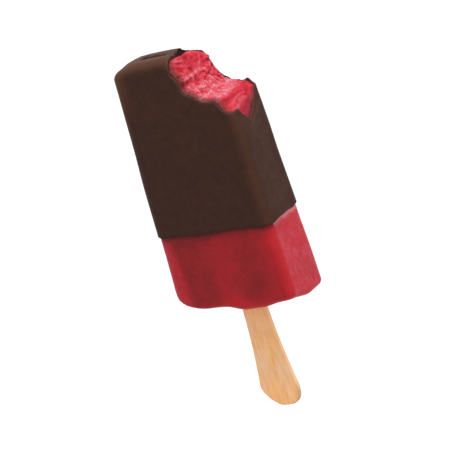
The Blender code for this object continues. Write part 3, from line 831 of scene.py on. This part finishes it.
def broken_share(x, y, z):
    """1 in the hollow beside the bite where the tip's chocolate broke off, 0 elsewhere."""
    beyond = rising(x - BROKEN_SLANT * z, BROKEN_X, BROKEN_X + BROKEN_BORDER)
    behind = rising(z, BROKEN_FRONT_Z, BROKEN_FRONT_Z - BROKEN_FRONT_BORDER)
    far_rim = 1 - BROKEN_FAR_FADING * rising(z, *BROKEN_FAR_Z)
    return beyond * behind * far_rim * rising(y, *BROKEN_Y)


def fold_shade(x, y, z):
    """The dark of the fold's far wall and of the pit."""
    _, fold, pit = fold_lines(x, y, z + FOLD_HALF_WIDTH / 2)
    return rising(y, *FOLD_Y) * np.maximum(FOLD_SHADE * fold, np.minimum(PIT_SHADE * pit, 1))


def coat_edge_highlights(x, y, z):
    """The long edges and the tip's edges, painted lighter as highlights where light catches them."""
    side_x, side_z = bar_sides(x, y, z, COAT_PROUD)
    near_x = rising(side_x, -PALE_EDGE_WIDTH, 0.0)
    near_z = rising(side_z, -PALE_EDGE_WIDTH, 0.0)
    near_tip = rising(y, *PALE_LONG_EDGE_Y)
    on_tip = rising(y, BODY_LENGTH - PALE_TIP_DEPTH, BODY_LENGTH)
    fold_z, _, _ = fold_lines(x, y, z)
    behind_fold = on_tip * rising(z, fold_z, fold_z - 1.0) * rising(x, *BEHIND_FOLD_X)
    towards_back = PALE_BACK * near_x * rising(side_z, 0.0, -PALE_BACK_WIDTH)
    left = PALE_LEFT * rising(x, *PALE_LEFT_X) * rising(y, *PALE_LEFT_Y)
    long_edges = near_x * near_z * (PALE_LONG_EDGE + (1 - PALE_LONG_EDGE) * near_tip)
    pale = long_edges + PALE_TIP * on_tip + towards_back + left
    return np.clip(pale, 0, 1) * (1 - BEHIND_FOLD_SHADE * behind_fold)


def pale_streak(x, y, z):
    """A pale streak beside the notch, on the right side only."""
    run = (STREAK_END_Y - STREAK_START_Y, STREAK_END_Z - STREAK_START_Z)
    away = distance_to_stretch(y - STREAK_START_Y, z - STREAK_START_Z, *run)
    return STREAK_PALENESS * hump(away, STREAK_HALF_WIDTH) * rising(x, *RIGHT_SIDE_X)


def make_stick(material):
    middle = STICK_MIDDLE
    grid = (
        graded((middle - 9.0, middle + 9.0, 0.25),),
        graded((-46.0, 4.0, 0.4), (4.0, 50.0, 2.0)),
        graded((-1.6, 1.6, 0.16),),
    )
    x, y, z = open_grid(grid)
    paddle_centre = -STICK_OUTSIDE + STICK_PADDLE_WIDTH / 2
    share = np.clip((FLARE_START - y) / (FLARE_START - paddle_centre), 0, 1)
    half_width = (STICK_NECK_WIDTH + (STICK_PADDLE_WIDTH - STICK_NECK_WIDTH) * share**2) / 2
    inner_end = STICK_LENGTH - STICK_OUTSIDE
    past_paddle = np.maximum(paddle_centre - y, 0)
    past_neck = np.maximum(y - inner_end + STICK_NECK_WIDTH / 2, 0)
    left_power, right_power = STICK_ROUNDING
    power = left_power + (right_power - left_power) * rising(x - middle, -3.0, 4.0)
    past_end = past_paddle + past_neck
    outline = (np.abs(x - middle) ** power + past_end**power) ** (1 / power) - half_width
    field = both(outline, np.abs(z) - STICK_THICKNESS / 2, STICK_EDGE_RADIUS)
    inwards = np.broadcast_to(-outline, field.shape)
    points, faces = skin(field, grid)
    px, py, _ = points.T
    column = np.clip(np.searchsorted(grid[0], px), 0, len(grid[0]) - 1)
    row = np.clip(np.searchsorted(grid[1], py), 0, len(grid[1]) - 1)
    edge = rising(inwards[column, row, 0], CUT_EDGE_WIDTH, 0.0)
    near_exit = rising(py, *WARM_EXIT_Y) * rising(px - middle, *WARM_EXIT_X)
    near_end = rising(py, *WARM_END_Y)
    attributes = {
        "edge": edge,
        "rim": edge * rising(py, *STICK_RIM_Y),
        "warm": WARM_EXIT * near_exit + WARM_END * near_end,
        # painted reflection of the red ice by the stick's exit
        "ice_reflection": hump(np.minimum(py - ICE_REFLECTION_Y, 0), ICE_REFLECTION_LENGTH),
    }
    return add_piece("flat_stick", points, faces, material, attributes, "wooden_stick")


# Materials


class Shading:
    """A material whose nodes are added by short calls."""

    def __init__(self, name):
        self.material = bpy.data.materials.new(name)
        self.material.use_nodes = True
        self.tree = self.material.node_tree
        self.surface = self.tree.nodes["Principled BSDF"]

    def node(self, kind, **inputs):
        made = self.tree.nodes.new(kind)
        self.fill(made, inputs)
        return made

    def fill(self, node, inputs):
        for key, value in inputs.items():
            self.put(node.inputs[key.replace("_", " ")], value)

    def put(self, socket, value):
        if isinstance(value, bpy.types.NodeSocket):
            self.tree.links.new(value, socket)
        else:
            socket.default_value = value

    def place(self, scale=(1, 1, 1)):
        """Coordinates on the object, in metres, stretched."""
        mapping = self.node("ShaderNodeMapping", Scale=scale)
        self.put(mapping.inputs["Vector"], self.tree.nodes.new("ShaderNodeTexCoord").outputs["Object"])
        return mapping.outputs["Vector"]

    def noise(self, size_mm, detail=3.0, roughness=0.55, stretch=(1, 1, 1)):
        made = self.node(
            "ShaderNodeTexNoise",
            Vector=self.place(stretch),
            Scale=1000.0 / size_mm,
            Detail=detail,
            Roughness=roughness,
        )
        return made.outputs["Fac"]

    def attribute(self, name):
        made = self.tree.nodes.new("ShaderNodeAttribute")
        made.attribute_name = name
        return made.outputs["Fac"]

    def sum(self, first, second, operation="ADD"):
        made = self.tree.nodes.new("ShaderNodeMath")
        made.operation = operation
        self.put(made.inputs[0], first)
        self.put(made.inputs[1], second)
        return made.outputs[0]

    def spread(self, value, low, high, to_low=0.0, to_high=1.0):
        made = self.tree.nodes.new("ShaderNodeMapRange")
        for socket, given in zip(made.inputs, (value, low, high, to_low, to_high)):
            self.put(socket, given)
        return made.outputs[0]

    def mix(self, share, first, second):
        made = self.tree.nodes.new("ShaderNodeMix")
        made.data_type = "RGBA"
        self.put(made.inputs["Factor"], share)
        self.put(made.inputs["A"], first)
        self.put(made.inputs["B"], second)
        return made.outputs["Result"]

    def tint(self, base, attribute, tone, strength=1.0):
        """The base with a tone mixed in where the attribute says."""
        share = self.attribute(attribute)
        if strength != 1.0:
            share = self.sum(share, strength, "MULTIPLY")
        return self.mix(share, base, tone)

    def ramp(self, value, stops):
        made = self.tree.nodes.new("ShaderNodeValToRGB")
        self.put(made.inputs["Fac"], value)
        elements = made.color_ramp.elements
        while len(elements) < len(stops):
            elements.new(0.5)
        for element, (position, colour) in zip(elements, stops):
            element.position = position
            element.color = colour
        return made.outputs["Color"]

    def bump(self, height, distance_mm, strength=1.0, under=None):
        made = self.node("ShaderNodeBump", Height=height, Distance=distance_mm * MM, Strength=strength)
        if under:
            self.put(made.inputs["Normal"], under)
        return made.outputs["Normal"]

    def finish(self, **inputs):
        self.fill(self.surface, inputs)
        return self.material


def colour(red, green, blue):
    """A colour given in linear light."""
    return (red, green, blue, 1.0)


ICE_DEEP_RED = colour(0.175, 0.0115, 0.0135)
ICE_BRIGHT_RED = colour(0.35, 0.013, 0.019)
ICE_SHADED_RED = colour(0.052, 0.0125, 0.0120)
ICE_FROST_AND_SHEEN = colour(0.35, 0.054, 0.080)
ICE_RIME = colour(0.62, 0.30, 0.33)
BITE_COLOURS = (
    (0.0, colour(0.18, 0.008, 0.018)),
    (0.25, colour(0.328, 0.010, 0.021)),
    (0.55, colour(0.385, 0.031, 0.047)),
    (0.8, colour(0.35, 0.060, 0.080)),
    (1.0, colour(0.43, 0.135, 0.165)),
)
BITE_WALL_SHADE = colour(0.172, 0.010, 0.024)
ICE_SMEAR_AND_SHADE = colour(0.080, 0.0175, 0.0145)
CHOCOLATE = colour(0.0400, 0.0170, 0.0112)
CHOCOLATE_DEEP = colour(0.0300, 0.0130, 0.0088)
CHOCOLATE_PALE = colour(0.0790, 0.0305, 0.0180)
CHOCOLATE_RIM_HIGHLIGHT = colour(0.072, 0.033, 0.023)
CHOCOLATE_STAINED = colour(0.090, 0.0150, 0.0160)
CHOCOLATE_SHADE = colour(0.007, 0.0030, 0.0025)
CHOCOLATE_HOLLOW_SHADE = colour(0.016, 0.0062, 0.0056)
WOOD_BEIGE = colour(0.79, 0.475, 0.272)
WOOD_GOLDEN = colour(0.83, 0.43, 0.172)
WOOD_STREAK = colour(0.70, 0.33, 0.125)
WOOD_CUT_EDGE = colour(0.68, 0.47, 0.29)
WOOD_RIM = colour(0.42, 0.26, 0.14)
WOOD_ICE_REFLECTION = colour(0.88, 0.34, 0.26)


def make_ice_material():
    shading = Shading("raspberry_ice")
    clouds = shading.spread(shading.noise(8.0, detail=4.0), 0.3, 0.7, -0.02, 0.3)
    mottle = shading.spread(shading.noise(2.6, detail=4.0, roughness=0.65), 0.3, 0.7, -0.13, 0.13)
    # random cloudy tone plus the painted glow of the ice and its painted shade
    glow = shading.sum(shading.sum(clouds, mottle), shading.attribute("painted_glow"))
    skin_colour = shading.mix(glow, ICE_DEEP_RED, ICE_BRIGHT_RED)
    skin_colour = shading.tint(skin_colour, "shaded", ICE_SHADED_RED)
    streaks = shading.noise(1.3, detail=6.0, roughness=0.75, stretch=(1, 0.55, 1))
    # frost with a painted sheen
    frost_and_sheen = shading.attribute("frost_and_sheen")
    frost_and_sheen = shading.sum(frost_and_sheen, shading.spread(streaks, 0.40, 0.60, 0.3, 1.55), "MULTIPLY")
    patches = shading.noise(3.2, detail=3.0, roughness=0.6, stretch=(1, 0.6, 1))
    frost_and_sheen = shading.sum(frost_and_sheen, shading.spread(patches, 0.40, 0.60, 0.55, 1.3), "MULTIPLY")
    skin_colour = shading.mix(frost_and_sheen, skin_colour, ICE_FROST_AND_SHEEN)
    rime = shading.attribute("rime")
    rime = shading.sum(rime, shading.spread(patches, 0.36, 0.64, 0.5, 1.05), "MULTIPLY")
    skin_colour = shading.mix(rime, skin_colour, ICE_RIME)
    specks = shading.noise(0.7, detail=3.0)
    pale = shading.sum(shading.attribute("pale"), shading.spread(specks, 0.25, 0.75, -0.2, 0.22))
    crystals = shading.spread(shading.noise(0.55, detail=2.0), 0.5, 0.68, -0.05, 0.3)
    pale = shading.sum(pale, shading.sum(shading.attribute("grainy"), crystals, "MULTIPLY"))
    bite_colour = shading.ramp(pale, BITE_COLOURS)
    # painted shade on the notch's wall
    bite_colour = shading.tint(bite_colour, "wall", BITE_WALL_SHADE)
    # chocolate smear and painted shade along the bite's borders
    border_mottle = shading.spread(shading.noise(1.4, detail=3.0), 0.35, 0.65, 0.7, 1.15)
    smear_and_shade = shading.sum(shading.attribute("smeared_and_shaded"), border_mottle, "MULTIPLY")
    bite_colour = shading.mix(smear_and_shade, bite_colour, ICE_SMEAR_AND_SHADE)
    bitten = shading.attribute("bitten")
    rough_bite = shading.bump(shading.noise(0.8, detail=4.0, roughness=0.7), 0.25, 0.6)
    normal = shading.bump(streaks, 0.12, 0.35, under=rough_bite)
    return shading.finish(
        Base_Color=shading.mix(bitten, skin_colour, bite_colour),
        Roughness=shading.spread(streaks, 0.3, 0.7, 0.38, 0.55),
        Specular_IOR_Level=0.07,
        Subsurface_Weight=0.25,
        Subsurface_Radius=(1.0, 0.18, 0.2),
        Subsurface_Scale=1.2 * MM,
        Normal=normal,
    )


def make_chocolate_material():
    shading = Shading("dark_chocolate")
    mottle = shading.spread(shading.noise(3.5, detail=6.0, roughness=0.75), 0.36, 0.64)
    base = shading.mix(mottle, CHOCOLATE_DEEP, CHOCOLATE)
    # painted highlights on the edges, and the pale streak
    base = shading.tint(base, "edges", CHOCOLATE_PALE)
    # painted highlight along the broken rim
    base = shading.tint(base, "rim", CHOCOLATE_RIM_HIGHLIGHT, 0.7)
    base = shading.tint(base, "cut", CHOCOLATE_SHADE, 0.7)
    base = shading.tint(base, "stained", CHOCOLATE_STAINED, 0.85)
    # painted shade in the hollow
    base = shading.tint(base, "hollow_shade", CHOCOLATE_HOLLOW_SHADE)
    base = shading.tint(base, "fold", CHOCOLATE_SHADE, 0.75)
    fine = shading.noise(0.9, detail=4.0, roughness=0.65)
    soft = shading.noise(3.0, detail=3.0)
    normal = shading.bump(fine, 0.12, 0.5, under=shading.bump(soft, 0.3, 0.5))
    return shading.finish(
        Base_Color=base,
        Roughness=shading.spread(soft, 0.3, 0.7, 0.5, 0.66),
        Specular_IOR_Level=shading.spread(shading.attribute("hollow_shade"), 0.0, 0.6, 0.06, 0.0),
        Normal=normal,
    )


def make_wood_material():
    shading = Shading("birch_wood")
    blotches = shading.noise(3.5, detail=5.0, roughness=0.65, stretch=(1, 0.35, 1))
    blotches = shading.spread(blotches, 0.41, 0.6)
    grain = shading.noise(0.9, detail=5.0, roughness=0.6, stretch=(1, 0.12, 1))
    base = shading.mix(shading.sum(blotches, shading.attribute("warm")), WOOD_BEIGE, WOOD_GOLDEN)
    base = shading.mix(shading.spread(grain, 0.46, 0.7, 0.0, 0.8), base, WOOD_STREAK)
    knots = shading.noise(2.4, detail=4.0, roughness=0.6, stretch=(1, 0.22, 1))
    base = shading.mix(shading.spread(knots, 0.52, 0.68, 0.0, 0.75), base, WOOD_STREAK)
    base = shading.tint(base, "edge", WOOD_CUT_EDGE, 0.35)
    base = shading.tint(base, "rim", WOOD_RIM, 0.9)
    # painted reflection of the red ice
    base = shading.tint(base, "ice_reflection", WOOD_ICE_REFLECTION)
    return shading.finish(
        Base_Color=base,
        Roughness=0.62,
        Specular_IOR_Level=0.25,
        Normal=shading.bump(grain, 0.08, 0.35),
    )


# The room

FLOOR_HALF = 3.0
FLOOR_GLOW = 0.95
WALL_GLOW = 1.7
CEILING_GLOW = 0.62
KEY_DIRECTION = Vector((0.33, 0.92, 0.13))
KEY_DISTANCE, KEY_SIZE = 0.6, 0.3
KEY_POWER = 4.5


def make_floor():
    """A pale floor that gives off most of its own light, so that the pop's shadow on it stays faint."""
    mesh = bpy.data.meshes.new("floor")
    corners = [(x * FLOOR_HALF, y * FLOOR_HALF, 0) for x, y in ((-1, -1), (1, -1), (1, 1), (-1, 1))]
    mesh.from_pydata(corners, [], [(0, 1, 2, 3)])
    shading = Shading("pale_floor")
    mesh.materials.append(
        shading.finish(
            Base_Color=colour(0.2, 0.2, 0.2),
            Roughness=0.9,
            Specular_IOR_Level=0.0,
            Emission_Color=colour(1.0, 1.0, 1.0),
            Emission_Strength=FLOOR_GLOW,
        )
    )
    add_object("floor", mesh)


def add_key_light():
    light = bpy.data.lights.new("key", "AREA")
    light.shape = "DISK"
    light.size = KEY_SIZE
    light.energy = KEY_POWER
    lamp = add_object("key", light)
    lamp.location = KEY_DIRECTION.normalized() * KEY_DISTANCE
    lamp.rotation_euler = KEY_DIRECTION.to_track_quat("Z", "Y").to_euler()


def make_light():
    world = bpy.data.worlds.new("studio")
    bpy.context.scene.world = world
    world.use_nodes = True
    nodes, links = world.node_tree.nodes, world.node_tree.links
    direction = nodes.new("ShaderNodeTexCoord").outputs["Generated"]
    height = nodes.new("ShaderNodeSeparateXYZ")
    links.new(direction, height.inputs[0])
    glow = nodes.new("ShaderNodeMapRange")
    links.new(height.outputs["Z"], glow.inputs["Value"])
    glow.inputs["To Min"].default_value = WALL_GLOW
    glow.inputs["To Max"].default_value = CEILING_GLOW
    links.new(glow.outputs[0], nodes["Background"].inputs["Strength"])
    nodes["Background"].inputs["Color"].default_value = colour(1.0, 1.0, 1.0)
    add_key_light()


def make_camera():
    """The picture's camera, turned and raised round the standing pop, then laid down with it."""
    away = Vector(
        (
            math.sin(CAMERA_TURN) * math.cos(CAMERA_RISE),
            math.sin(CAMERA_RISE),
            math.cos(CAMERA_TURN) * math.cos(CAMERA_RISE),
        )
    )
    level = Vector((0, 1, 0)).cross(away).normalized()
    upright = away.cross(level)
    right = level * math.cos(CAMERA_ROLL) - upright * math.sin(CAMERA_ROLL)
    up = level * math.sin(CAMERA_ROLL) + upright * math.cos(CAMERA_ROLL)
    standing = Matrix((right, up, away)).transposed().to_4x4()
    standing.translation = CAMERA_TARGET + away * CAMERA_DISTANCE
    matrix = LAID_DOWN @ standing
    matrix.translation *= MM
    data = bpy.data.cameras.new("camera")
    data.sensor_width = SENSOR_WIDTH
    data.lens = FOCAL_PIXELS / PICTURE_SIDE * SENSOR_WIDTH
    data.clip_start = 0.01
    camera = add_object("camera", data)
    camera.matrix_world = matrix
    bpy.context.scene.camera = camera


bpy.context.scene.view_settings.view_transform = "Standard"
make_camera()
make_ice(make_ice_material())
make_coat(make_chocolate_material())
make_stick(make_wood_material())
make_floor()
make_light()
